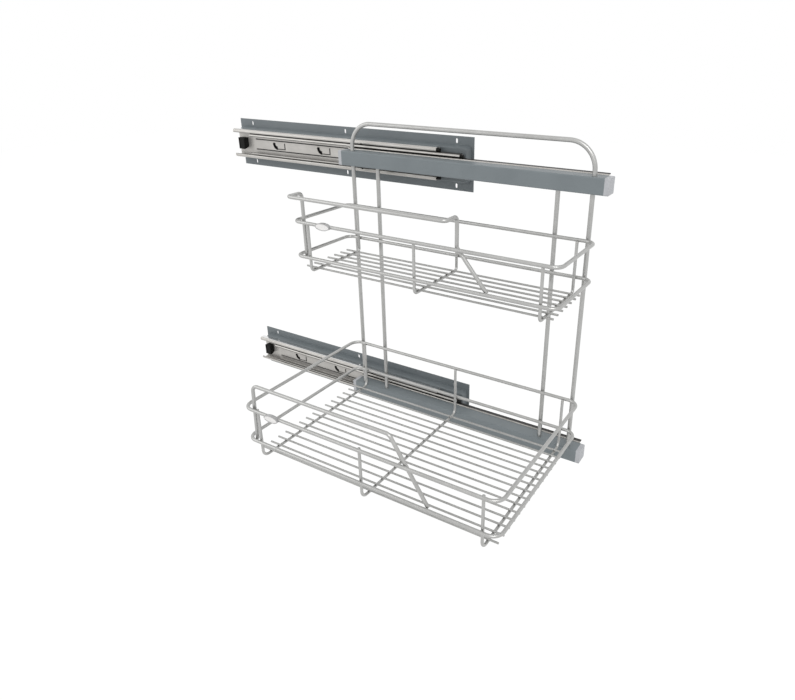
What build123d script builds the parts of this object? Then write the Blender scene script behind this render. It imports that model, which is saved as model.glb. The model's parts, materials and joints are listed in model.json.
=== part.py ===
from build123d import *
import os
from math import cos, radians, sin, tan

os.makedirs("parts", exist_ok=True)

# Driving dimensions in millimetres. The wall is the plane Y = 0 and the room lies at -Y,
# the baskets pull out along +X, and the origin is the middle of the upper bracket's back.
tier_drop = 386.0

# Wall brackets: a plate with a pressed tray that carries the slide
bracket_length = 450.0
bracket_height = 75.0
bracket_sheet = 1.5
bracket_depth = 11.5
tray_height = 52.0
tray_inset = 4.0
tray_corner = 6.0
tray_draft = 14.0
tray_edge = 1.5
slot_length = 6.5
slot_width = 3.6
slot_spacing_x = 395.0
slot_spacing_z = 62.0

# Slides: three nested members that run on two sets of balls
slide_length = 400.0
slide_height = 45.7
slide_depth = 12.7
slide_sheet = 1.2
outer_start = -224.0
intermediate_out = 38.0
member_overlap = 191.0
web_gap = 0.4
corner_bend = 0.6
outer_ball = 4.4
inner_ball = 4.2
ball_clearance = 0.25
outer_ball_depth = 7.0
inner_ball_depth = 8.0
outer_lip_wrap = 35.0
intermediate_lip_wrap = 8.0
inner_lip_wrap = 40.0
cage_sheet = 0.5
cage_width = 5.4
cage_play = 0.1
cage_margin = 3.5
cage_tilt = 135.0
outer_ball_count = 7
inner_ball_count = 6

# Outer member: its web ends before its lips at the rear, and each lip has a small notch
web_setback = 4.0
web_chamfer = 2.5
lip_notch = 2.0
lip_notch_from_start = 270.0
window_length = 34.0
window_height = 17.0
window_corner = 5.0

# Grooves and lanced tongues in the intermediate member's web
groove_depth = 0.9
groove_width = 1.8
groove_length = 196.0
groove_start = 5.0
groove_spacing = 16.0
lance_positions = (57.5, 152.0)
lance_length = 26.0
lance_height = 10.5
lance_arc_width = 3.6
lance_slit = 1.4

# Closing bumper in the outer member's rear end
bumper_start = 11.0
bumper_length = 13.0
bumper_height = 18.6
bumper_play = 0.3
bumper_undercut = 3.6
bumper_groove = 1.0
bumper_edge = 0.8

# Stops in the raceways at the members' pulled ends
stop_insert = 3.0
stop_reach = 5.0
stop_play = 0.1
stop_clearance = 0.3

# Rivets: slide to bracket and slide to runner
rivet_shank = 4.8
rivet_head = 8.0
rivet_head_height = 1.4
rivet_play = 0.1
slide_rivet_rear = 60.0
slide_rivet_middle = 230.0
slide_rivet_margin = 30.0
runner_rivet_margin = 40.0

# Runner profiles: a box section with a plastic cap in each end
runner_lead = 2.0
runner_tail = 7.8
runner_height = 21.0
runner_depth = 22.0
runner_wall = 1.5
runner_corner = 1.5
runner_drop = 0.9
cap_length = 5.9
cap_play = 0.2
plug_clearance = 2.0

# Carriage frame of bent wire
hoop_wire = 6.0
hoop_inset = 21.2
hoop_y = -38.2
hoop_top = 49.1
hoop_bend = 34.0
hoop_hole_play = 0.3
upright_half_width = 139.0
weld_gap = 0.15

# Baskets: shared sizes
rim_wire = 4.8
cross_wire = 4.0
floor_wire = 2.8
rail_wire = 5.0
basket_half_width = 195.0
cross_half_width = 173.0
floor_half_length = 187.5
floor_pitch = 14.7
cross_rise = 3.4

# Upper basket
upper_front = -160.8
upper_rim_top = -69.7
upper_rim_mid = -118.7
upper_run = -139.4
upper_corner = 12.0
upper_cross_bend = 6.0
upper_floor_first = -60.9
upper_floor_count = 7

# Lower basket
lower_front = -289.4
lower_rim_top = -299.4
lower_rim_mid = -348.9
lower_run = -376.2
lower_corner = 15.0
lower_cross_bend = 10.0
lower_floor_first = -65.1
lower_floor_count = 14

# Raised front rails, measured along X from the rear end of the rims
upper_rail_left = 15.1
upper_rail_z = -30.5
upper_rail_reach = 21.5
upper_rail_right = 256.7
upper_rail_knee = -68.0
upper_rail_foot = 298.6
upper_rail_bend = 6.0
lower_rail_z = -263.5
lower_rail_left = 18.3
lower_rail_left_foot = 13.8
lower_rail_right = 241.4
lower_rail_foot = 294.5
lower_rail_bend = 9.0

# Plain oval tags on the front rims
tag_width = 24.0
tag_height = 10.0
tag_thickness = 3.0
tag_from_rear = 55.6

# Sizes that follow from the values above
intermediate_start = outer_start + intermediate_out
inner_start = intermediate_start + slide_length - member_overlap
runner_start = inner_start - runner_lead
runner_length = slide_length + runner_lead + runner_tail
carriage_x = runner_start + runner_length / 2
hoop_half_width = runner_length / 2 - hoop_inset
cap_plug = hoop_inset - hoop_wire / 2 - hoop_hole_play - plug_clearance - cap_length
basket_rear = carriage_x - basket_half_width
slide_rivet_points = [
    outer_start + x for x in (slide_rivet_rear, slide_rivet_middle, slide_length - slide_rivet_margin)
]
runner_rivet_points = [
    runner_start + x for x in (runner_rivet_margin, runner_length / 2, runner_length - runner_rivet_margin)
]
lance_points = [intermediate_start + x for x in lance_positions]
outer_raceway = outer_ball / 2 + ball_clearance
inner_raceway = inner_ball / 2 + ball_clearance
outer_ball_z = slide_height / 2 - slide_sheet - outer_raceway
inner_ball_z = outer_ball_z - outer_raceway - slide_sheet - inner_raceway
intermediate_skin = slide_sheet + web_gap + slide_sheet
runner_back = -bracket_depth - slide_depth
runner_y = runner_back - runner_depth / 2
rim_rear = hoop_y - hoop_wire / 2 - rim_wire / 2 - weld_gap
cross_offset = rim_wire / 2 + cross_wire / 2 + weld_gap
rail_offset = rim_wire / 2 + rail_wire / 2 + weld_gap
floor_offset = cross_wire / 2 + floor_wire / 2 + weld_gap
tiers = {"upper": 0.0, "lower": -tier_drop}


def save(builder, label):
    """Name a finished piece and write it."""
    builder.part.label = label
    export_step(builder.part, f"parts/{label}.step")


def section_plane(x, z, depth=0.0):
    """Plane of a cross section at x: its own X is the distance from the wall, its own Y is up."""
    return Plane(origin=(x, -depth, z), x_dir=(0, -1, 0), z_dir=(-1, 0, 0))


def slide_plane(x, z):
    """Section plane whose own X is measured from the back of the slide."""
    return section_plane(x, z, bracket_depth)


def wire_end(path):
    """Plane square to the start of a wire's path."""
    return Plane(origin=path.line @ 0, z_dir=path.line % 0)


# Wall brackets

def wall_bracket(z):
    draft = tan(radians(tray_draft))
    skin = bracket_sheet / cos(radians(tray_draft)) - bracket_sheet * draft
    length = bracket_length - 2 * tray_inset
    with BuildPart() as bracket:
        with BuildSketch(Plane.XZ.offset(bracket_sheet)):
            with Locations((0, z)):
                RectangleRounded(length, tray_height, tray_corner)
        extrude(amount=bracket_depth - bracket_sheet, taper=tray_draft)
        fillet(bracket.faces().sort_by(Axis.Y)[0].edges(), tray_edge)
        with BuildSketch(Plane.XZ):
            with Locations((0, z)):
                Rectangle(bracket_length, bracket_height)
        extrude(amount=bracket_sheet)
        with BuildSketch(Plane.XZ):
            with Locations((0, z)):
                RectangleRounded(length - 2 * skin, tray_height - 2 * skin, tray_corner - skin)
        extrude(amount=bracket_depth - bracket_sheet, taper=tray_draft, mode=Mode.SUBTRACT)
        with BuildSketch(Plane.XZ):
            with Locations((0, z)):
                with GridLocations(slot_spacing_x / 2, slot_spacing_z, 3, 2):
                    SlotOverall(slot_length, slot_width, rotation=90)
        extrude(amount=2 * bracket_sheet, mode=Mode.SUBTRACT)
        with BuildSketch(Plane.XZ):
            with Locations(*[(x, z) for x in slide_rivet_points]):
                Circle(rivet_shank / 2 + rivet_play)
        extrude(amount=2 * bracket_depth, mode=Mode.SUBTRACT)
    return bracket


# Slide members, each the offset of its inner skin, mirrored about the slide's middle

def outer_member(z):
    with BuildPart() as member:
        with BuildSketch(slide_plane(outer_start, z)):
            with BuildLine():
                FilletPolyline(
                    (slide_sheet, 0),
                    (slide_sheet, outer_ball_z + outer_raceway),
                    (outer_ball_depth, outer_ball_z + outer_raceway),
                    radius=corner_bend,
                )
                CenterArc((outer_ball_depth, outer_ball_z), outer_raceway, 90, -90 - outer_lip_wrap)
                offset(amount=slide_sheet, side=Side.LEFT)
            make_face()
            mirror(about=Plane.XZ)
        extrude(amount=-slide_length)
        with BuildSketch(Plane.XZ.offset(bracket_depth)):
            with Locations(*[(x, z) for x in slide_rivet_points]):
                Circle(rivet_shank / 2 + rivet_play)
            with Locations(*[(x, z) for x in lance_points]):
                RectangleRounded(window_length, window_height, window_corner)
            with Locations((outer_start, z)):
                opening = Rectangle(2 * web_setback, slide_height - 4 * slide_sheet)
                chamfer(opening.vertices().group_by(Axis.X)[-1], web_chamfer)
        extrude(amount=slide_sheet, mode=Mode.SUBTRACT)
        lip_end = outer_ball_z - (outer_raceway + slide_sheet) * sin(radians(outer_lip_wrap))
        with BuildSketch(Plane.XZ.offset(bracket_depth + outer_ball_depth)):
            with Locations((outer_start + lip_notch_from_start, z)):
                with GridLocations(0, 2 * lip_end, 1, 2):
                    Circle(lip_notch)
        extrude(amount=slide_depth, mode=Mode.SUBTRACT)
    return member


def lance(x, z):
    """Tongue cut on three sides: a wide arc at the rear, a slit below and a slit at the other end."""
    left = x - lance_length / 2
    right = x + lance_length / 2
    foot = z - lance_height / 2
    radius = lance_height - lance_arc_width
    with BuildLine():
        bend = CenterArc((left + radius + lance_arc_width / 2, foot + radius + lance_arc_width / 2), radius, 180, 75)
    SlotArc(bend, lance_arc_width)
    with Locations(((left + radius + right) / 2, foot + lance_slit / 2)):
        Rectangle(right - left - radius, lance_slit)
    with Locations((right - lance_slit / 2, z)):
        Rectangle(lance_slit, lance_height)


def intermediate_member(z):
    flange_z = outer_ball_z - outer_raceway - slide_sheet
    with BuildPart() as member:
        with BuildSketch(slide_plane(intermediate_start, z)):
            with BuildLine():
                FilletPolyline(
                    (intermediate_skin, 0),
                    (intermediate_skin, flange_z),
                    (inner_ball_depth, flange_z),
                    radius=corner_bend,
                )
                CenterArc((inner_ball_depth, inner_ball_z), inner_raceway, 90, -90 - intermediate_lip_wrap)
                offset(amount=slide_sheet, side=Side.LEFT)
            make_face()
            mirror(about=Plane.XZ)
        extrude(amount=-slide_length)
        with BuildSketch(Plane.XZ.offset(bracket_depth + intermediate_skin)):
            for x in lance_points:
                lance(x, z)
        extrude(amount=-slide_sheet, mode=Mode.SUBTRACT)
        with BuildSketch(Plane.XZ.offset(bracket_depth + intermediate_skin)):
            with Locations((intermediate_start + groove_start + groove_length / 2, z)):
                with GridLocations(0, groove_spacing, 1, 2):
                    SlotOverall(groove_length, groove_width)
        extrude(amount=-groove_depth, mode=Mode.SUBTRACT)
    return member


def inner_member(z):
    top = inner_ball_z - inner_raceway
    with BuildPart() as member:
        with BuildSketch(slide_plane(inner_start, z)):
            with BuildLine():
                FilletPolyline(
                    (slide_depth, 0),
                    (slide_depth, top),
                    (inner_ball_depth, top),
                    radius=corner_bend + slide_sheet,
                )
                CenterArc((inner_ball_depth, inner_ball_z), inner_raceway, 270, -inner_lip_wrap)
                offset(amount=slide_sheet, side=Side.LEFT)
            make_face()
            mirror(about=Plane.XZ)
        extrude(amount=-slide_length)
        with BuildSketch(Plane.XZ.offset(bracket_depth + slide_depth)):
            with Locations(*[(x, z) for x in runner_rivet_points]):
                Circle(rivet_shank / 2 + rivet_play)
        extrude(amount=-slide_sheet, mode=Mode.SUBTRACT)
    return member


# Ball cages: a strip with round windows along each raceway, tilted to pass between the lips

def ball_points(count, start, length):
    pitch = length / count
    return [start + pitch * (i + 0.5) for i in range(count)]


def cage_planes(z, ball_depth, ball_z):
    """One plane for the upper raceway and one for the lower, each through its ball centres."""
    lean = radians(cage_tilt)
    planes = []
    for side in (1, -1):
        centre = (0, -bracket_depth - ball_depth, z + side * ball_z)
        across = (0, -cos(lean), side * sin(lean))
        planes.append(Plane(origin=centre, x_dir=(1, 0, 0), z_dir=Vector(1, 0, 0).cross(Vector(across))))
    return planes


def ball_cage(z, ball_depth, ball_z, ball, count, start, length):
    with BuildPart() as cage:
        for plane in cage_planes(z, ball_depth, ball_z):
            with BuildSketch(plane):
                with Locations((start + length / 2, 0)):
                    Rectangle(length, cage_width * ball / outer_ball)
                with Locations(*[(x, 0) for x in ball_points(count, start, length)]):
                    Circle(ball / 2 + cage_play, mode=Mode.SUBTRACT)
            extrude(amount=cage_sheet / 2, both=True)
    return cage


def cage_balls(z, ball_depth, ball_z, ball, count, start, length):
    with BuildPart() as balls:
        for plane in cage_planes(z, ball_depth, ball_z):
            with Locations(*[plane.from_local_coords((x, 0, 0)) for x in ball_points(count, start, length)]):
                Sphere(ball / 2)
    return balls


# Bumper, stops and rivets

def bumper(z):
    """Block as deep as the slide, seen at its end: its underside rises towards the web."""
    back = slide_sheet
    front = slide_depth - slide_sheet - bumper_play
    half = bumper_height / 2
    with BuildPart() as block:
        with BuildSketch(slide_plane(outer_start + bumper_start, z)):
            with BuildLine():
                Polyline(
                    (back, half),
                    (front, half),
                    (front, -half),
                    (back, -half + bumper_undercut),
                    close=True,
                )
            make_face()
        extrude(amount=-bumper_length)
        fillet(block.faces().sort_by(Axis.Y)[0].edges(), bumper_edge)
        with BuildSketch(Plane.XZ.offset(bracket_depth + front)):
            with Locations((outer_start + bumper_start + bumper_length / 4, z)):
                Rectangle(bumper_groove, bumper_height)
        extrude(amount=-bumper_groove, mode=Mode.SUBTRACT)
    return block


def raceway_stops(z, end, ball_depth, ball_z, raceway, floor_z):
    """Pair of plugs in the raceways at a member's pulled end, flat towards the member that runs past."""
    with BuildPart() as stops:
        with BuildSketch(slide_plane(end - stop_insert, z)):
            for side in (1, -1):
                middle = side * ball_z
                with BuildSketch(mode=Mode.PRIVATE) as plug:
                    with Locations((ball_depth, middle)):
                        Circle(raceway - stop_play)
                    with Locations((ball_depth, side * (floor_z + stop_clearance + raceway))):
                        Rectangle(2 * raceway, 2 * raceway, mode=Mode.INTERSECT)
                add(plug.sketch)
        extrude(amount=-(stop_insert + stop_reach))
    return stops


def slide_rivets(z):
    with BuildPart() as rivets:
        with BuildSketch(Plane.XZ.offset(bracket_depth + slide_sheet)):
            with Locations(*[(x, z) for x in slide_rivet_points]):
                Circle(rivet_shank / 2)
        extrude(amount=-(slide_sheet + bracket_sheet))
        with BuildSketch(Plane.XZ.offset(bracket_depth - bracket_sheet)):
            with Locations(*[(x, z) for x in slide_rivet_points]):
                Circle(rivet_head / 2)
        extrude(amount=-rivet_head_height)
    return rivets


def runner_rivets(z):
    points = [(x, z) for x in runner_rivet_points]
    with BuildPart() as rivets:
        with BuildSketch(Plane.XZ.offset(-runner_back - slide_sheet)):
            with Locations(*points):
                Circle(rivet_shank / 2)
        extrude(amount=slide_sheet + runner_wall)
        with BuildSketch(Plane.XZ.offset(-runner_back + runner_wall)):
            with Locations(*points):
                Circle(rivet_head / 2)
        extrude(amount=rivet_head_height)
    return rivets


# Runner profiles and their end caps

def runner_profile(z, through_holes):
    middle = z - runner_drop
    with BuildPart() as profile:
        with BuildSketch(section_plane(runner_start + cap_length, middle, -runner_y)):
            RectangleRounded(runner_depth, runner_height, runner_corner)
            Rectangle(runner_depth - 2 * runner_wall, runner_height - 2 * runner_wall, mode=Mode.SUBTRACT)
        extrude(amount=-(runner_length - 2 * cap_length))
        with BuildSketch(Plane.XZ.offset(-runner_back)):
            with Locations(*[(x, z) for x in runner_rivet_points]):
                Circle(rivet_shank / 2 + rivet_play)
        extrude(amount=runner_wall, mode=Mode.SUBTRACT)
        if through_holes:
            with BuildSketch(Plane.XY.offset(middle)):
                with Locations((carriage_x - hoop_half_width, hoop_y), (carriage_x + hoop_half_width, hoop_y)):
                    Circle(hoop_wire / 2 + hoop_hole_play)
            extrude(amount=runner_height, both=True, mode=Mode.SUBTRACT)
    return profile


def end_cap(z, side):
    """Cap in one end of a runner: side is -1 at the rear end and 1 at the pulled end."""
    middle = z - runner_drop
    mouth = carriage_x + side * (runner_length / 2 - cap_length)
    bore = runner_wall + cap_play
    with BuildPart() as cap:
        with BuildSketch(section_plane(mouth, middle, -runner_y)):
            RectangleRounded(runner_depth, runner_height, runner_corner)
        extrude(amount=-side * cap_length)
        outer_end = cap.faces().sort_by(Axis.X)[-1 if side > 0 else 0]
        fillet(outer_end.edges(), runner_corner / 2)
        with BuildSketch(section_plane(mouth, middle, -runner_y)):
            Rectangle(runner_depth - 2 * bore, runner_height - 2 * bore)
            Rectangle(runner_depth - 4 * bore, runner_height - 4 * bore, mode=Mode.SUBTRACT)
        extrude(amount=side * cap_plug)
    return cap


# Wire pieces

def bent_wire(points, radii, wire):
    with BuildPart() as piece:
        with BuildLine() as path:
            FilletPolyline(*points, radius=radii)
        with BuildSketch(wire_end(path)):
            Circle(wire / 2)
        sweep()
    return piece


def outer_hoop():
    left = carriage_x - hoop_half_width
    right = carriage_x + hoop_half_width
    foot = -tier_drop - runner_drop + runner_height / 2
    points = [(left, hoop_y, foot), (left, hoop_y, hoop_top), (right, hoop_y, hoop_top), (right, hoop_y, foot)]
    return bent_wire(points, hoop_bend, hoop_wire)


def upright(side):
    x = carriage_x + side * upright_half_width
    top = -runner_drop - runner_height / 2
    foot = -tier_drop - runner_drop + runner_height / 2
    with BuildPart() as bar:
        with BuildSketch(Plane.XY.offset(foot)):
            with Locations((x, hoop_y)):
                Circle(hoop_wire / 2)
        extrude(amount=top - foot)
    return bar


def rim(front, z, corner):
    left = carriage_x - basket_half_width
    right = carriage_x + basket_half_width
    with BuildPart() as loop:
        with BuildLine() as path:
            FilletPolyline(
                (right, rim_rear, z),
                (right, front, z),
                (left, front, z),
                (left, rim_rear, z),
                radius=corner,
                close=True,
            )
        with BuildSketch(wire_end(path)):
            Circle(rim_wire / 2)
        sweep()
    return loop


def cross_wires(front, rim_top, run, bend):
    rear_y = rim_rear - cross_offset
    front_y = front + cross_offset
    top = rim_top + cross_rise
    with BuildPart() as wires:
        for side in (-1, 0, 1):
            x = carriage_x + side * cross_half_width
            with BuildLine() as path:
                FilletPolyline((x, rear_y, top), (x, rear_y, run), (x, front_y, run), (x, front_y, top), radius=bend)
            with BuildSketch(wire_end(path)):
                Circle(cross_wire / 2)
            sweep()
    return wires


def floor_wires(run, first, count):
    z = run + floor_offset
    with BuildPart() as wires:
        with BuildSketch(Plane.YZ.offset(carriage_x - floor_half_length)):
            with Locations(*[(first - i * floor_pitch, z) for i in range(count)]):
                Circle(floor_wire / 2)
        extrude(amount=2 * floor_half_length)
    return wires


def upper_rail():
    inside = upper_front + rail_offset
    outside = upper_front - upper_rail_reach
    left = basket_rear + upper_rail_left
    right = basket_rear + upper_rail_right
    points = [
        (left, inside, upper_rim_mid),
        (left, inside, upper_rail_z),
        (left, outside, upper_rail_z),
        (right, outside, upper_rail_z),
        (right, inside, upper_rail_z),
        (right, inside, upper_rail_knee),
        (basket_rear + upper_rail_foot, inside, upper_rim_mid),
    ]
    return bent_wire(points, upper_rail_bend, rail_wire)


def lower_rail():
    inside = lower_front + rail_offset
    points = [
        (basket_rear + lower_rail_left_foot, inside, lower_rim_mid),
        (basket_rear + lower_rail_left, inside, lower_rail_z),
        (basket_rear + lower_rail_right, inside, lower_rail_z),
        (basket_rear + lower_rail_foot, inside, lower_rim_mid),
    ]
    return bent_wire(points, lower_rail_bend, rail_wire)


def tag(front, z):
    """Oval plate with a groove on its back that seats on the front rim."""
    x = basket_rear + tag_from_rear
    with BuildPart() as plate:
        with BuildSketch(Plane.XZ.offset(-front)):
            with Locations((x, z)):
                Ellipse(tag_width / 2, tag_height / 2)
        extrude(amount=rim_wire / 2 + tag_thickness)
        with BuildSketch(Plane.YZ.offset(x)):
            with Locations((front, z)):
                Circle(rim_wire / 2 + weld_gap)
        extrude(amount=tag_width, both=True, mode=Mode.SUBTRACT)
    return plate


# Each cage travels half as far as the member it carries and stays where two members overlap
cage_length = member_overlap - 2 * cage_margin
intermediate_travel = slide_length - member_overlap - intermediate_out
outer_cage_start = outer_start + slide_length - cage_margin - cage_length - intermediate_travel / 2
inner_cage_start = inner_start + cage_margin
intermediate_end = intermediate_start + slide_length
outer_end = outer_start + slide_length
outer_cage = (outer_ball_depth, outer_ball_z, outer_ball, outer_ball_count, outer_cage_start, cage_length)
inner_cage = (inner_ball_depth, inner_ball_z, inner_ball, inner_ball_count, inner_cage_start, cage_length)
outer_stops = (outer_end, outer_ball_depth, outer_ball_z, outer_raceway, outer_ball_z - outer_raceway)
inner_stops = (intermediate_end, inner_ball_depth, inner_ball_z, inner_raceway, inner_ball_z - inner_raceway)

for tier, z in tiers.items():
    save(wall_bracket(z), f"{tier}_wall_bracket")
    save(slide_rivets(z), f"{tier}_slide_rivets")
    save(outer_member(z), f"{tier}_outer_member")
    save(bumper(z), f"{tier}_bumper")
    save(raceway_stops(z, *outer_stops), f"{tier}_outer_stops")
    save(raceway_stops(z, *inner_stops), f"{tier}_intermediate_stops")
    save(intermediate_member(z), f"{tier}_intermediate_member")
    save(inner_member(z), f"{tier}_inner_member")
    save(ball_cage(z, *outer_cage), f"{tier}_outer_cage")
    save(cage_balls(z, *outer_cage), f"{tier}_outer_balls")
    save(ball_cage(z, *inner_cage), f"{tier}_inner_cage")
    save(cage_balls(z, *inner_cage), f"{tier}_inner_balls")
    save(runner_profile(z, tier == "upper"), f"{tier}_runner_profile")
    save(runner_rivets(z), f"{tier}_runner_rivets")
    save(end_cap(z, -1), f"{tier}_rear_cap")
    save(end_cap(z, 1), f"{tier}_front_cap")

save(outer_hoop(), "outer_hoop")
save(upright(-1), "rear_upright")
save(upright(1), "front_upright")

save(rim(upper_front, upper_rim_top, upper_corner), "upper_basket_top_rim")
save(rim(upper_front, upper_rim_mid, upper_corner), "upper_basket_mid_rim")
save(cross_wires(upper_front, upper_rim_top, upper_run, upper_cross_bend), "upper_basket_cross_wires")
save(floor_wires(upper_run, upper_floor_first, upper_floor_count), "upper_basket_floor_wires")
save(upper_rail(), "upper_basket_front_rail")
save(tag(upper_front, upper_rim_top), "upper_basket_tag")

save(rim(lower_front, lower_rim_top, lower_corner), "lower_basket_top_rim")
save(rim(lower_front, lower_rim_mid, lower_corner), "lower_basket_mid_rim")
save(cross_wires(lower_front, lower_rim_top, lower_run, lower_cross_bend), "lower_basket_cross_wires")
save(floor_wires(lower_run, lower_floor_first, lower_floor_count), "lower_basket_floor_wires")
save(lower_rail(), "lower_basket_front_rail")
save(tag(lower_front, lower_rim_top), "lower_basket_tag")
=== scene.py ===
import json
import math

import bmesh
import bpy
from mathutils import Matrix, Vector


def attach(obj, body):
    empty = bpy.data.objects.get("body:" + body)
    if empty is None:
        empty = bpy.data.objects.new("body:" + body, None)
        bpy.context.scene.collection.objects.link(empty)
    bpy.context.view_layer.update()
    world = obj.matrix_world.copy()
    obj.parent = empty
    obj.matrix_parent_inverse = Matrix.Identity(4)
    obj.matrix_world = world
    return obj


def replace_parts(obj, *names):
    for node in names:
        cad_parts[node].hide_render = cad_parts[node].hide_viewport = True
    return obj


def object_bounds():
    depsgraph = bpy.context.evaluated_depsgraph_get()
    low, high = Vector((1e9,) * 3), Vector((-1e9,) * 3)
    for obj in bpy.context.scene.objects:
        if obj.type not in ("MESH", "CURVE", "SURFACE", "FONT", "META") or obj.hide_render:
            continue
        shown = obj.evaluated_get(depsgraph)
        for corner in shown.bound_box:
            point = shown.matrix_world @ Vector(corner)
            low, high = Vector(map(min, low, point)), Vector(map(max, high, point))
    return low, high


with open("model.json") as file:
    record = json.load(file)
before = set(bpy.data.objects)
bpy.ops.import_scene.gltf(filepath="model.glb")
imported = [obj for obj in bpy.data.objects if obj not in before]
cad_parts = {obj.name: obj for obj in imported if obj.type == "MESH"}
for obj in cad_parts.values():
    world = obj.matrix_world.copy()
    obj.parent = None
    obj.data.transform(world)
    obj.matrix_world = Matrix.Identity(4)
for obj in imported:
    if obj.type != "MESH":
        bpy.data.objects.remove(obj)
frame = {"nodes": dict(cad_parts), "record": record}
cad_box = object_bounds()

# Photograph: size in pixels, camera's focal length and the point it looks straight at
PHOTO_WIDTH = 795
PHOTO_HEIGHT = 700
FOCAL_PIXELS = 624.13
VIEW_CENTRE = (450.82, 329.57)
SENSOR = 36.0

# Camera's place in metres, and its turn in degrees
CAMERA_PLACE = (0.64406, -0.77858, 0.15016)
CAMERA_YAW = 30.30
CAMERA_PITCH = -24.41
CAMERA_ROLL = 0.36

# Studio: the floor under the object in metres, and how strongly world and floor shine
WHITE = (1.0, 1.0, 1.0, 1.0)
FLOOR_DROP = 0.35
FLOOR_HALF_SIZE = 6.0
FLOOR_GLOW = 1.08
FLOOR_GLOW_SHARE = 0.8
SOFT_WORLD = 0.75

# Sizes of the solids in metres, where the scene's pieces and finishes meet them
TIER_DROP = 0.386
BRACKET_DEPTH = 0.0115
CARRIAGE_X = 0.2259
HOOP_Y = -0.0382
HOOP_HALF_WIDTH = 0.1837
UPRIGHT_HALF_WIDTH = 0.139
HOOP_WIRE = 0.006
RIM_WIRE = 0.0048
CROSS_WIRE = 0.004
FLOOR_WIRE = 0.0028
WELD_GAP = 0.00015
CROSS_HALF_WIDTH = 0.173
FLOOR_LENGTH = 0.375
FLOOR_PITCH = 0.0147
RIM_REAR = HOOP_Y - HOOP_WIRE / 2 - RIM_WIRE / 2 - WELD_GAP

# Per basket: Y of the rims' front wires and of the first floor wire, Z of the top rim, the middle rim,
# the cross wires' floor stretch and their tops, and the X at which the front rail meets which rim
TOP_RIM = 0
MIDDLE_RIM = 1
BASKETS = {
    "upper": {
        "front_y": -0.1608, "first_wire_y": -0.0609, "floor_wires": 7,
        "rims_z": (-0.0697, -0.1187), "floor_z": -0.1394, "cross_top_z": -0.0703,
        "rail": ((0.046, TOP_RIM), (0.046, MIDDLE_RIM), (0.289, TOP_RIM), (0.3295, MIDDLE_RIM)),
    },
    "lower": {
        "front_y": -0.2894, "first_wire_y": -0.0651, "floor_wires": 15,
        "rims_z": (-0.2994, -0.3489), "floor_z": -0.3762, "cross_top_z": -0.2992,
        "rail": ((0.0473, TOP_RIM), (0.0447, MIDDLE_RIM), (0.2946, TOP_RIM), (0.3254, MIDDLE_RIM)),
    },
}

# Merging of a node's triangles: distance in metres, and degrees up to which a face counts as flat
MERGE_DISTANCE = 0.000002
FLAT_ANGLE = 0.5

# Cut ends of the wires: degrees from which an edge is rounded, and its rounding in metres
CUT_ANGLE = 60.0
END_ROUNDING = 0.0005
FLOOR_WIRE_SIDES = 20

# Half sizes of the weld beads in metres along X, Y and Z, and how far the beads on the rounded
# tops of the cross wires sit under them
FLOOR_WELD = (0.0017, 0.0013, 0.0006)
CROSS_WELD = (0.0017, 0.0007, 0.0015)
FRAME_WELD = (0.0024, 0.0008, 0.0019)
RAIL_WELD = (0.0019, 0.0007, 0.0019)
TOP_WELD_DROP = 0.0012

# Border of the tags in metres: its width, the slope inside it and how far that goes in
TAG_BORDER = 0.0008
TAG_SLOPE = 0.0002
TAG_SINK = 0.0004

# Places on the slides are in millimetres of their section: along it, depth from its back, and height
# from its middle. A pair is a fade: its start and its end.
MILLIMETRES = 1000.0

# Lanced tongues: their middles along the slides, and from there the arc at their rear end
# and the slit at the other end
LANCES = (-128.5, -34.0)
LANCE_FADE = (-0.2, 0.2)
ARC_ALONG = -4.3
ARC_LEVEL = 3.45
ARC_RADIUS = 6.7
ARC_WIDTH = (2.7, 3.0)
ARC_FRONT = (0.0, 1.0)
ARC_TOP = (1.0, 1.6)
SLIT_ALONG = 12.0
SLIT_WIDTH = (0.9, 1.2)
SLIT_HEIGHT = (4.6, 5.2)

# Raceways, where shade is painted: the circle that the balls run in, and the lip past it
OUTER_RACEWAY = {"Middle Depth": 7.0, "Middle Height": 19.2, "Lip End": 17.4}
INNER_RACEWAY = {"Middle Depth": 8.0, "Middle Height": 13.2, "Lip End": 13.2}
BALL_CIRCLE = (2.8, 3.2)
LIP_DEPTH = (1.0, 1.6)
LIP_FADE = (0.0, 0.6)

# Painted shade on the bracket's face and in the outer member's windows behind the tongues, and the outer
# member's polished top
SHADE_REACH = 20.0
SHADE_HEIGHT = (10.0, 12.0)
SHADE_DEPTH = (0.3, 0.5)
WINDOW_REACH = 18.0
WINDOW_HEIGHT = (9.2, 9.6)
POLISH_HEIGHT = (22.5, 22.7)
POLISH_DEPTH = (7.8, 8.8)

# Intermediate member, where shade is painted: flanges, face of the web, its two grooves and the cut-outs
# round the tongues
FLANGE_HEIGHT = (15.3, 15.8)
FLANGE_DEPTH = (10.2, 10.7)
UNDER_FACE = (2.70, 2.79)
WEB_DEPTH = (3.0, 3.2)
GROOVE_HEIGHT = 8.0
GROOVE_WIDTH = (0.9, 1.05)
CUTOUT_REACH = 13.3
CUTOUT_HEIGHT = (5.6, 6.0)

# Inner member, where shade is painted: the flat behind the runner
INNER_TOP_HEIGHT = (10.4, 10.7)
INNER_TOP_DEPTH = (11.4, 11.9)

# Zinc plate, its polish, and painted shade in the slides' gaps and openings and on the bracket behind them
ZINC_DARK = (0.47, 0.455, 0.43)
ZINC_LIGHT = (0.56, 0.545, 0.52)
ZINC_METALLIC = 0.55
ZINC_ROUGH = (0.34, 0.50)
DRAWN_SCALE = (12.0, 900.0, 900.0)
# Near-black painted shade in the slides' raceways, grooves and openings
GAP_SHADE = (0.012, 0.011, 0.010)
POLISH = (0.80, 0.80, 0.80)
POLISH_GLOSS = 0.28
SHADE = (0.006, 0.006, 0.006)

# Part of a noise's range over which a finish runs from dark to light
CLOUD_START = 0.3
CLOUD_END = 0.7

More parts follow.
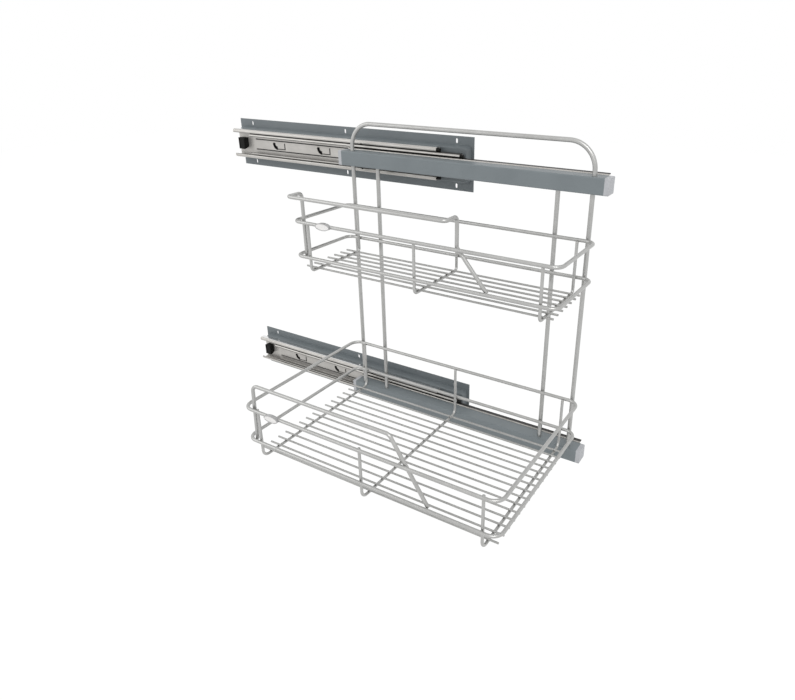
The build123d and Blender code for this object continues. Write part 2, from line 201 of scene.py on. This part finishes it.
# A Mix node's sockets for colours: mask, base, over and result
MIX_MASK = 0
MIX_BASE = 6
MIX_OVER = 7
MIX_RESULT = 2


# Wires, welds and tags

def form_of(node):
    """A node's mesh with its loose triangles merged into whole faces."""
    form = bmesh.new()
    form.from_mesh(frame["nodes"][node].data)
    bmesh.ops.remove_doubles(form, verts=form.verts, dist=MERGE_DISTANCE)
    bmesh.ops.dissolve_limit(form, angle_limit=math.radians(FLAT_ANGLE), verts=form.verts, edges=form.edges)
    return form


def round_cut_ends(form):
    """Rounds the sharp edges round the cut ends of a wire."""
    sharp = math.radians(CUT_ANGLE)
    edges = [e for e in form.edges if len(e.link_faces) == 2 and e.calc_face_angle(0.0) > sharp]
    bmesh.ops.bevel(form, geom=edges, offset=END_ROUNDING, offset_type="OFFSET", segments=2, profile=0.5,
                    affect="EDGES", material=-1, clamp_overlap=True)


def carriage_piece(name, form, materials, smooth=40.0):
    """Finished object at the origin that rides on the carriage, smooth up to an angle in degrees."""
    bmesh.ops.recalc_face_normals(form, faces=form.faces)
    mesh = bpy.data.meshes.new(name)
    form.to_mesh(mesh)
    form.free()
    for material in materials:
        mesh.materials.append(finishes[material])
    mesh.shade_smooth()
    mesh.set_sharp_from_angle(angle=math.radians(smooth))
    piece = bpy.data.objects.new(name, mesh)
    bpy.context.scene.collection.objects.link(piece)
    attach(piece, "carriage")
    return piece


def round_ended_wires(node, finish, cut_height=None):
    """A wire node with its cut ends rounded, and shortened to a height where one is given."""
    form = form_of(node)
    if cut_height is not None:
        everything = form.verts[:] + form.edges[:] + form.faces[:]
        bmesh.ops.bisect_plane(form, geom=everything, plane_co=(0, 0, cut_height), plane_no=(0, 0, 1),
                               clear_outer=True)
        bmesh.ops.holes_fill(form, edges=[e for e in form.edges if e.is_boundary], sides=0)
    round_cut_ends(form)
    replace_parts(carriage_piece(node + "_round_ended", form, [finish]), node)


def front_floor_wire():
    """The deep basket's floor wire nearest its front, with round ends."""
    basket = BASKETS["lower"]
    y = basket["first_wire_y"] - (basket["floor_wires"] - 1) * FLOOR_PITCH
    z = basket["floor_z"] + CROSS_WIRE / 2 + FLOOR_WIRE / 2 + WELD_GAP
    place = Matrix.Translation((CARRIAGE_X, y, z)) @ Matrix.Rotation(math.radians(90), 4, "Y")
    form = bmesh.new()
    bmesh.ops.create_cone(form, cap_ends=True, segments=FLOOR_WIRE_SIDES, radius1=FLOOR_WIRE / 2,
                          radius2=FLOOR_WIRE / 2, depth=FLOOR_LENGTH, matrix=place)
    round_cut_ends(form)
    carriage_piece("lower_basket_front_floor_wire", form, ["shaded_floor_wire_coat"])


def weld_points(basket):
    """Middle of each weld with its half sizes."""
    points = []
    crossings = [CARRIAGE_X + side * CROSS_HALF_WIDTH for side in (-1, 0, 1)]
    contact = (WELD_GAP + RIM_WIRE) / 2
    floor_contact = basket["floor_z"] + (CROSS_WIRE + WELD_GAP) / 2
    for x in crossings:
        for i in range(basket["floor_wires"]):
            points.append(((x, basket["first_wire_y"] - i * FLOOR_PITCH, floor_contact), FLOOR_WELD))
    for rim, z in enumerate(basket["rims_z"]):
        cross_z = basket["cross_top_z"] - TOP_WELD_DROP if rim == TOP_RIM else z
        for x in crossings:
            for y in (RIM_REAR - contact, basket["front_y"] + contact):
                points.append(((x, y, cross_z), CROSS_WELD))
        for side in (-1, 1):
            for half in (HOOP_HALF_WIDTH, UPRIGHT_HALF_WIDTH):
                points.append(((CARRIAGE_X + side * half, RIM_REAR + contact, z), FRAME_WELD))
    for x, rim in basket["rail"]:
        points.append(((x, basket["front_y"] + contact, basket["rims_z"][rim]), RAIL_WELD))
    return points


def weld_beads(tier):
    """Beads squeezed flat between the wires that cross."""
    form = bmesh.new()
    for place, half in weld_points(BASKETS[tier]):
        bmesh.ops.create_icosphere(form, subdivisions=2, radius=1.0,
                                   matrix=Matrix.Translation(place) @ Matrix.Diagonal((*half, 1.0)))
    carriage_piece(tier + "_basket_welds", form, ["weld_scale"], smooth=180.0)


def bordered_tag(tier):
    """The plain oval tag with a raised border round its face."""
    node = tier + "_basket_tag"
    form = form_of(node)
    face = min(form.faces, key=lambda f: f.calc_center_median().y)
    bmesh.ops.inset_individual(form, faces=[face], thickness=TAG_BORDER, depth=0.0)
    bmesh.ops.inset_individual(form, faces=[face], thickness=TAG_SLOPE, depth=-TAG_SINK)
    face.material_index = 1
    materials = ["tag_border", "tag_plastic"]
    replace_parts(carriage_piece(node + "_bordered", form, materials, smooth=30.0), node)


# Materials

class Shading:
    """A shader's node tree with the steps that the finishes are built from. A step takes sockets
    or plain values."""

    def __init__(self, tree):
        self.nodes = tree.nodes
        self.links = tree.links

    def feed(self, socket, value):
        """Links a value's socket, or sets a plain value."""
        if isinstance(value, bpy.types.NodeSocket):
            self.links.new(value, socket)
        else:
            socket.default_value = value

    def fill(self, node, inputs):
        """Feeds a node's inputs, by name or by number, and returns the node."""
        for label, value in inputs.items():
            self.feed(node.inputs[label], value)
        return node

    def add(self, kind, inputs):
        """A new node with its inputs."""
        return self.fill(self.nodes.new(kind), inputs)

    def effect(self, group, inputs):
        """A shared effect with its own values, of which it returns the outputs."""
        node = self.nodes.new("ShaderNodeGroup")
        node.node_tree = group
        return self.fill(node, inputs).outputs

    def calculate(self, operation, *values):
        """One step of arithmetic."""
        step = self.nodes.new("ShaderNodeMath")
        step.operation = operation
        return self.fill(step, dict(enumerate(values))).outputs["Value"]

    def both(self, first, second):
        """1 where two masks overlap."""
        return self.calculate("MULTIPLY", first, second)

    def either(self, first, second):
        """1 where at least one of two masks is."""
        return self.calculate("MAXIMUM", first, second)

    def away(self, value, middle):
        """How far a value is from a middle."""
        return self.calculate("ABSOLUTE", self.calculate("SUBTRACT", value, middle))

    def distance(self, point, middle):
        """How far a point of the section is from a middle."""
        across = self.calculate("SUBTRACT", point[0], middle[0])
        up = self.calculate("SUBTRACT", point[1], middle[1])
        squares = self.calculate("MULTIPLY_ADD", across, across, self.both(up, up))
        return self.calculate("SQRT", squares)

    def below(self, value, fade):
        """1 where a value is under a fade's start, 0 where it is over its end."""
        span = self.add("ShaderNodeMapRange", {"Value": value, "From Min": fade[0], "From Max": fade[1],
                                               "To Min": 1.0, "To Max": 0.0})
        span.interpolation_type = "SMOOTHSTEP"
        return span.outputs["Result"]

    def above(self, value, fade):
        """0 where a value is under a fade's start, 1 where it is over its end."""
        return self.calculate("SUBTRACT", 1.0, self.below(value, fade))

    def colour_between(self, clouds, dark, light):
        """A colour that runs from dark to light with the clouds."""
        ramp = self.add("ShaderNodeValToRGB", {"Fac": clouds})
        first, last = ramp.color_ramp.elements
        first.position = CLOUD_START
        first.color = (*dark, 1.0)
        last.position = CLOUD_END
        last.color = (*light, 1.0)
        return ramp.outputs["Color"]

    def value_between(self, clouds, low, high):
        """A value that runs from low to high with the clouds."""
        span = self.add("ShaderNodeMapRange", {"Value": clouds, "From Min": CLOUD_START,
                                               "From Max": CLOUD_END, "To Min": low, "To Max": high})
        return span.outputs["Result"]

    def colour_over(self, mask, base, over):
        """A colour laid over a base colour by a mask."""
        mix = self.nodes.new("ShaderNodeMix")
        mix.data_type = "RGBA"
        return self.fill(mix, {MIX_MASK: mask, MIX_BASE: base, MIX_OVER: (*over, 1.0)}).outputs[MIX_RESULT]

    def surface(self, sink, mask, under, over):
        """The last step of a material or world: one shader laid over another by a mask."""
        mix = self.add("ShaderNodeMixShader", {"Fac": mask, 1: under, 2: over})
        self.feed(self.nodes[sink].inputs["Surface"], mix.outputs["Shader"])

    def seen_directly(self):
        """1 for the camera and for what shiny metal mirrors."""
        path = self.add("ShaderNodeLightPath", {}).outputs
        return self.either(path["Is Camera Ray"], path["Is Glossy Ray"])


class Finish(Shading):
    """A new material with its Principled shader and its Object coordinates."""

    def __init__(self, name):
        self.material = bpy.data.materials.new(name)
        self.material.use_nodes = True
        super().__init__(self.material.node_tree)
        self.principled = self.nodes["Principled BSDF"]
        self.place = self.add("ShaderNodeTexCoord", {}).outputs["Object"]

    def set_shader(self, inputs):
        """Feeds the Principled shader's inputs."""
        self.fill(self.principled, inputs)

    def section(self):
        """Place in a slide's section."""
        return self.effect(SLIDE_SECTION, {"Place": self.place})

    def grain(self, clouds, grain):
        """The shared clouds and grain, at a scale for each."""
        return self.effect(FINE_GRAIN, {"Place": self.place, "Cloud Scale": clouds, "Grain Scale": grain})

    def bump(self, height, strength, depth):
        """Raises the surface by a height between 0 and 1, to a depth in metres."""
        bump = self.add("ShaderNodeBump", {"Height": height, "Strength": strength, "Distance": depth})
        self.set_shader({"Normal": bump.outputs["Normal"]})


# Shared effects

def new_group(name, inputs, outputs):
    """A node group with the steps in it, what it is given and the sockets of its results."""
    group = bpy.data.node_groups.new(name, "ShaderNodeTree")
    for label in inputs:
        kind = "NodeSocketVector" if label == "Place" else "NodeSocketFloat"
        group.interface.new_socket(label, in_out="INPUT", socket_type=kind)
    for label in outputs:
        group.interface.new_socket(label, in_out="OUTPUT", socket_type="NodeSocketFloat")
    steps = Shading(group)
    return group, steps, steps.add("NodeGroupInput", {}).outputs, steps.add("NodeGroupOutput", {}).inputs


def fine_grain_group():
    """Soft clouds and a fine surface grain."""
    inputs = ("Place", "Cloud Scale", "Grain Scale")
    group, steps, given, result = new_group("fine_grain", inputs, ("Cloud", "Grain"))
    for label, detail in (("Cloud", 4.0), ("Grain", 2.0)):
        noise = steps.add("ShaderNodeTexNoise", {"Vector": given["Place"], "Detail": detail,
                                                 "Scale": given[label + " Scale"]})
        steps.feed(result[label], noise.outputs["Fac"])
    return group


def drawn_grain_group():
    """Fine lines along X, as a rolled strip has them."""
    group, steps, given, result = new_group("drawn_grain", ("Place",), ("Lines",))
    drawn = steps.add("ShaderNodeMapping", {"Vector": given["Place"], "Scale": DRAWN_SCALE})
    lines = steps.add("ShaderNodeTexNoise", {"Vector": drawn.outputs["Vector"], "Scale": 1.0, "Detail": 3.0})
    steps.feed(result["Lines"], lines.outputs["Fac"])
    return group


def slide_section_group():
    """Place in a slide's section: along it, depth from its back, level over its middle, and height,
    which is the level without its sign."""
    outputs = ("Along", "Depth", "Height", "Level")
    group, steps, given, result = new_group("slide_section", ("Place",), outputs)
    place = steps.add("ShaderNodeSeparateXYZ", {"Vector": given["Place"]}).outputs
    is_lower = steps.calculate("LESS_THAN", place["Z"], -TIER_DROP / 2)
    tier_z = steps.calculate("MULTIPLY_ADD", is_lower, TIER_DROP, place["Z"])
    level = steps.calculate("MULTIPLY", tier_z, MILLIMETRES)
    depth = steps.calculate("MULTIPLY_ADD", place["Y"], -MILLIMETRES, -BRACKET_DEPTH * MILLIMETRES)
    steps.feed(result["Along"], steps.calculate("MULTIPLY", place["X"], MILLIMETRES))
    steps.feed(result["Depth"], depth)
    steps.feed(result["Height"], steps.calculate("ABSOLUTE", level))
    steps.feed(result["Level"], level)
    return group


def near_lances_group():
    """1 within a reach of a lanced tongue's middle, along the slide."""
    group, steps, given, result = new_group("near_lances", ("Along", "Reach"), ("Mask",))
    masks = []
    for lance in LANCES:
        past = steps.calculate("SUBTRACT", steps.away(given["Along"], lance), given["Reach"])
        masks.append(steps.below(past, LANCE_FADE))
    steps.feed(result["Mask"], steps.either(*masks))
    return group


def raceway_group():
    """1 inside the circle that the balls run in, and 1 on the lip in front of it."""
    inputs = ("Depth", "Height", "Middle Depth", "Middle Height", "Lip End")
    group, steps, given, result = new_group("raceway", inputs, ("Circle", "Lip"))
    middle = (given["Middle Depth"], given["Middle Height"])
    from_middle = steps.distance((given["Depth"], given["Height"]), middle)
    front = steps.above(steps.calculate("SUBTRACT", given["Depth"], given["Middle Depth"]), LIP_DEPTH)
    end = steps.below(steps.calculate("SUBTRACT", given["Height"], given["Lip End"]), LIP_FADE)
    steps.feed(result["Circle"], steps.below(from_middle, BALL_CIRCLE))
    steps.feed(result["Lip"], steps.both(front, end))
    return group


FINE_GRAIN = fine_grain_group()
DRAWN_GRAIN = drawn_grain_group()
SLIDE_SECTION = slide_section_group()
NEAR_LANCES = near_lances_group()
RACEWAY = raceway_group()


# Where painted shade and polish lie, as masks

def near_lances(finish, section, reach):
    """Near the middles of the tongues, up to a reach."""
    return finish.effect(NEAR_LANCES, {"Along": section["Along"], "Reach": reach})["Mask"]


def raceway(finish, section, sizes):
    """The circle and the lip of a raceway."""
    return finish.effect(RACEWAY, {"Depth": section["Depth"], "Height": section["Height"], **sizes})


def lance_gap_shade(finish, section):
    """Painted shade round the arc and along the end slit of each lanced tongue."""
    along = section["Along"]
    level = section["Level"]
    masks = []
    for lance in LANCES:
        middle = (lance + ARC_ALONG, ARC_LEVEL)
        from_arc = finish.away(finish.distance((along, level), middle), ARC_RADIUS)
        rear = finish.below(finish.calculate("SUBTRACT", along, middle[0]), ARC_FRONT)
        low = finish.below(finish.calculate("SUBTRACT", level, middle[1]), ARC_TOP)
        arc = finish.both(finish.below(from_arc, ARC_WIDTH), finish.both(rear, low))
        slit = finish.both(finish.below(finish.away(along, lance + SLIT_ALONG), SLIT_WIDTH),
                           finish.below(section["Height"], SLIT_HEIGHT))
        masks.append(finish.either(arc, slit))
    return finish.either(*masks)


def outer_gap_shade(finish):
    """Painted shade in the outer member's raceways, and in its windows behind the tongues."""
    section = finish.section()
    balls = raceway(finish, section, OUTER_RACEWAY)
    window = finish.both(near_lances(finish, section, WINDOW_REACH),
                         finish.below(section["Height"], WINDOW_HEIGHT))
    return finish.either(finish.either(balls["Circle"], balls["Lip"]), window)


def outer_polish(finish):
    """On the outer member's flat top, where it lies against the bracket."""
    section = finish.section()
    return finish.both(finish.above(section["Height"], POLISH_HEIGHT),
                       finish.below(section["Depth"], POLISH_DEPTH))


def intermediate_gap_shade(finish):
    """Painted shade in the intermediate member's raceways, on its flanges, in its grooves and round its
    tongues.
    """
    section = finish.section()
    height = section["Height"]
    depth = section["Depth"]
    balls = raceway(finish, section, INNER_RACEWAY)
    flange = finish.both(finish.above(height, FLANGE_HEIGHT), finish.below(depth, FLANGE_DEPTH))
    groove = finish.below(finish.away(height, GROOVE_HEIGHT), GROOVE_WIDTH)
    cutout = finish.both(near_lances(finish, section, CUTOUT_REACH), finish.below(height, CUTOUT_HEIGHT))
    cuts = finish.both(finish.either(groove, cutout), finish.below(depth, UNDER_FACE))
    web = finish.both(lance_gap_shade(finish, section), finish.below(depth, WEB_DEPTH))
    rolled = finish.either(finish.either(balls["Circle"], balls["Lip"]), flange)
    return finish.either(rolled, finish.either(cuts, web))


def bracket_shade(finish):
    """On the bracket's face, behind the slide's openings."""
    section = finish.section()
    face = finish.below(finish.away(section["Depth"], 0.0), SHADE_DEPTH)
    near = finish.both(near_lances(finish, section, SHADE_REACH),
                       finish.below(section["Height"], SHADE_HEIGHT))
    return finish.both(face, near)


def inner_gap_shade(finish):
    """Painted shade in the inner member's raceways, and on the flat behind the runner."""
    section = finish.section()
    flat = finish.both(finish.above(section["Height"], INNER_TOP_HEIGHT),
                       finish.below(section["Depth"], INNER_TOP_DEPTH))
    return finish.either(raceway(finish, section, INNER_RACEWAY)["Circle"], flat)


# Finishes

def satin_paint(name, dark, light, shade=None):
    """Satin powder coat with a faint orange peel, and dark where a function for the shade says."""
    paint = Finish(name)
    grain = paint.grain(clouds=25.0, grain=900.0)
    colour = paint.colour_between(grain["Cloud"], dark, light)
    if shade is not None:
        colour = paint.colour_over(shade(paint), colour, SHADE)
    paint.set_shader({"Base Color": colour,
                      "Roughness": paint.value_between(grain["Cloud"], low=0.40, high=0.48)})
    paint.bump(grain["Grain"], strength=0.15, depth=0.0002)
    return paint.material


def zinc_strip(name, shade_in_gaps=None, polish=None):
    """Zinc-plated rolled strip with soft clouds and lines along X, and near-black painted shade and a
    brighter polish where a function for each says."""
    zinc = Finish(name)
    clouds = zinc.effect(FINE_GRAIN, {"Place": zinc.place, "Cloud Scale": 30.0})["Cloud"]
    lines = zinc.effect(DRAWN_GRAIN, {"Place": zinc.place})["Lines"]
    colour = zinc.colour_between(clouds, ZINC_DARK, ZINC_LIGHT)
    rough = zinc.value_between(lines, *ZINC_ROUGH)
    metallic = ZINC_METALLIC
    if shade_in_gaps is not None:
        # Painted shade: near-black and without metal where the function says
        shaded = shade_in_gaps(zinc)
        colour = zinc.colour_over(shaded, colour, GAP_SHADE)
        metallic = zinc.calculate("MULTIPLY_ADD", shaded, -ZINC_METALLIC, metallic)
    if polish is not None:
        polished = polish(zinc)
        colour = zinc.colour_over(polished, colour, POLISH)
        rough = zinc.calculate("MULTIPLY_ADD", polished, -POLISH_GLOSS, rough)
        metallic = zinc.either(metallic, polished)
    zinc.set_shader({"Base Color": colour, "Roughness": rough, "Metallic": metallic})
    zinc.bump(lines, strength=0.2, depth=0.0001)
    return zinc.material


def plain_finish(name, dark, light, clouds, grain, rough, bump, metallic=0.0, specular=0.5):
    """A finish with soft clouds in its colour and gloss and a fine grain in its surface."""
    plain = Finish(name)
    noise = plain.grain(clouds, grain)
    plain.set_shader({"Base Color": plain.colour_between(noise["Cloud"], dark, light),
                      "Roughness": plain.value_between(noise["Cloud"], *rough),
                      "Metallic": metallic, "Specular IOR Level": specular})
    plain.bump(noise["Grain"], strength=bump, depth=0.0001)
    return plain.material


def bracket_paint():
    """Blue-grey of the wall brackets: the runners' coat, painted darker as shade."""
    return satin_paint("bracket_paint", dark=(0.137, 0.157, 0.167), light=(0.152, 0.173, 0.184),
                       shade=bracket_shade)


def runner_paint():
    """The runners' blue-grey, a little paler."""
    return satin_paint("runner_paint", dark=(0.163, 0.187, 0.199), light=(0.180, 0.206, 0.218))


def greased_steel():
    """Ball cages, black with grease."""
    return plain_finish("greased_steel", dark=(0.010, 0.009, 0.008), light=(0.050, 0.046, 0.040),
                        clouds=300.0, grain=2500.0, rough=(0.25, 0.45), bump=0.1, metallic=0.2)


def wire_coat():
    """Silver-grey coat of the hoop, the uprights, the rims and the cross wires."""
    return plain_finish("wire_coat", dark=(0.43, 0.43, 0.42), light=(0.48, 0.48, 0.47),
                        clouds=60.0, grain=1400.0, rough=(0.30, 0.38), bump=0.08, metallic=0.80)


def shaded_floor_wire_coat():
    """The same coat on the floor wires, painted a little darker as shade."""
    return plain_finish("shaded_floor_wire_coat", dark=(0.355, 0.355, 0.345), light=(0.405, 0.405, 0.395),
                        clouds=60.0, grain=1400.0, rough=(0.30, 0.38), bump=0.08, metallic=0.80)


def weld_scale():
    """Darker, duller grey of the welds."""
    return plain_finish("weld_scale", dark=(0.09, 0.09, 0.085), light=(0.24, 0.24, 0.23),
                        clouds=500.0, grain=2000.0, rough=(0.35, 0.5), bump=0.2, metallic=0.6)


def ball_steel():
    """Polished balls with a film of grease."""
    return plain_finish("ball_steel", dark=(0.10, 0.10, 0.10), light=(0.45, 0.45, 0.45),
                        clouds=200.0, grain=2000.0, rough=(0.10, 0.25), bump=0.02, metallic=1.0)


def cap_plastic():
    """Light grey moulded end caps."""
    return plain_finish("cap_plastic", dark=(0.40, 0.41, 0.43), light=(0.46, 0.47, 0.49),
                        clouds=90.0, grain=2200.0, rough=(0.40, 0.50), bump=0.2)


def bumper_rubber():
    """Black bumpers and stops, barely shiny."""
    return plain_finish("bumper_rubber", dark=(0.006, 0.006, 0.0055), light=(0.012, 0.012, 0.011),
                        clouds=120.0, grain=2500.0, rough=(0.50, 0.60), bump=0.3, specular=0.12)


def tag_plastic():
    """Smooth pale face of the tags."""
    return plain_finish("tag_plastic", dark=(0.78, 0.77, 0.76), light=(0.84, 0.83, 0.82),
                        clouds=100.0, grain=2500.0, rough=(0.25, 0.32), bump=0.05)


def tag_border():
    """Silver border of the tags."""
    return plain_finish("tag_border", dark=(0.42, 0.42, 0.42), light=(0.48, 0.48, 0.48),
                        clouds=100.0, grain=2500.0, rough=(0.25, 0.32), bump=0.05, metallic=0.6)


def make_finishes():
    """Every finish by its name. Plain zinc plate is for the rivets."""
    return {
        "bracket_paint": bracket_paint(),
        "runner_paint": runner_paint(),
        "outer_zinc": zinc_strip("outer_zinc", outer_gap_shade, outer_polish),
        "intermediate_zinc": zinc_strip("intermediate_zinc", intermediate_gap_shade),
        "inner_zinc": zinc_strip("inner_zinc", inner_gap_shade),
        "zinc_plate": zinc_strip("zinc_plate"),
        "greased_steel": greased_steel(),
        "wire_coat": wire_coat(),
        "shaded_floor_wire_coat": shaded_floor_wire_coat(),
        "weld_scale": weld_scale(),
        "ball_steel": ball_steel(),
        "cap_plastic": cap_plastic(),
        "bumper_rubber": bumper_rubber(),
        "tag_plastic": tag_plastic(),
        "tag_border": tag_border(),
    }


FINISH_BY_ENDING = (
    ("wall_bracket", "bracket_paint"), ("runner_profile", "runner_paint"), ("outer_member", "outer_zinc"),
    ("intermediate_member", "intermediate_zinc"), ("inner_member", "inner_zinc"), ("cage", "greased_steel"),
)


def dress_frame():
    """Each node takes the finish of its own piece, or else of its material slot."""
    for entry in frame["record"]["subparts"]:
        name = entry["node"]
        own = [finish for ending, finish in FINISH_BY_ENDING if name.endswith(ending)]
        mesh = frame["nodes"][name].data
        mesh.materials.clear()
        mesh.materials.append(finishes[own[0] if own else entry["material_slot"]])


# Studio

def studio_world():
    """Soft light from all round, white to the camera and to shiny metal."""
    world = bpy.data.worlds.new("studio")
    bpy.context.scene.world = world
    world.use_nodes = True
    sky = Shading(world.node_tree)
    soft = sky.fill(sky.nodes["Background"], {"Color": WHITE, "Strength": SOFT_WORLD})
    white = sky.add("ShaderNodeBackground", {"Color": WHITE, "Strength": 1.0})
    sky.surface("World Output", sky.seen_directly(), soft.outputs["Background"], white.outputs["Background"])


def floor_white():
    """Pale floor: white to the camera and to shiny metal, with a trace of the object's shadow."""
    floor = Finish("floor_white")
    floor.set_shader({"Base Color": (0.9, 0.9, 0.9, 1.0), "Roughness": 0.9})
    glow = floor.add("ShaderNodeEmission", {"Color": WHITE, "Strength": FLOOR_GLOW})
    share = floor.both(floor.seen_directly(), FLOOR_GLOW_SHARE)
    floor.surface("Material Output", share, floor.principled.outputs["BSDF"], glow.outputs["Emission"])
    return floor.material


def studio_floor():
    """Wide floor well under the object, which hangs on a wall."""
    form = bmesh.new()
    bmesh.ops.create_grid(form, x_segments=1, y_segments=1, size=FLOOR_HALF_SIZE,
                          matrix=Matrix.Translation((0.0, 0.0, cad_box[0].z - FLOOR_DROP)))
    mesh = bpy.data.meshes.new("floor")
    form.to_mesh(mesh)
    form.free()
    mesh.materials.append(floor_white())
    floor = bpy.data.objects.new("floor", mesh)
    bpy.context.scene.collection.objects.link(floor)


def softbox(name, place, aim, size, power):
    """Square area lamp turned towards its aim."""
    light = bpy.data.lights.new(name, "AREA")
    light.shape = "SQUARE"
    light.size = size
    light.energy = power
    lamp = bpy.data.objects.new(name, light)
    bpy.context.scene.collection.objects.link(lamp)
    lamp.location = place
    lamp.rotation_euler = (Vector(aim) - Vector(place)).to_track_quat("-Z", "Y").to_euler()


def studio_lights():
    """Key lamp at the front right and a weaker fill at the front left."""
    middle = (cad_box[0] + cad_box[1]) / 2
    softbox("key", place=(1.6, -1.9, 1.9), aim=middle, size=1.6, power=30.0)
    softbox("fill", place=(-1.8, -1.6, 0.8), aim=middle, size=1.6, power=9.0)


def photo_camera():
    """The photograph's camera: its frame is off the lens axis, so it has a small shift."""
    data = bpy.data.cameras.new("photo_camera")
    data.sensor_width = SENSOR
    data.lens = FOCAL_PIXELS * SENSOR / PHOTO_WIDTH
    data.shift_x = (PHOTO_WIDTH / 2 - VIEW_CENTRE[0]) / PHOTO_WIDTH
    data.shift_y = (VIEW_CENTRE[1] - PHOTO_HEIGHT / 2) / PHOTO_WIDTH
    camera = bpy.data.objects.new("photo_camera", data)
    bpy.context.scene.collection.objects.link(camera)
    turn = Matrix.Rotation(math.radians(CAMERA_YAW), 4, "Z")
    tilt = Matrix.Rotation(math.radians(90 + CAMERA_PITCH), 4, "X")
    roll = Matrix.Rotation(math.radians(CAMERA_ROLL), 4, "Z")
    camera.matrix_world = Matrix.Translation(CAMERA_PLACE) @ turn @ tilt @ roll
    bpy.context.scene.camera = camera


bpy.context.scene.view_settings.view_transform = "Standard"
photo_camera()
studio_world()
studio_lights()
studio_floor()
finishes = make_finishes()
dress_frame()
for tier, basket in BASKETS.items():
    round_ended_wires(tier + "_basket_cross_wires", "wire_coat", basket["cross_top_z"])
    round_ended_wires(tier + "_basket_floor_wires", "shaded_floor_wire_coat")
    round_ended_wires(tier + "_basket_front_rail", "wire_coat")
    weld_beads(tier)
    bordered_tag(tier)
front_floor_wire()
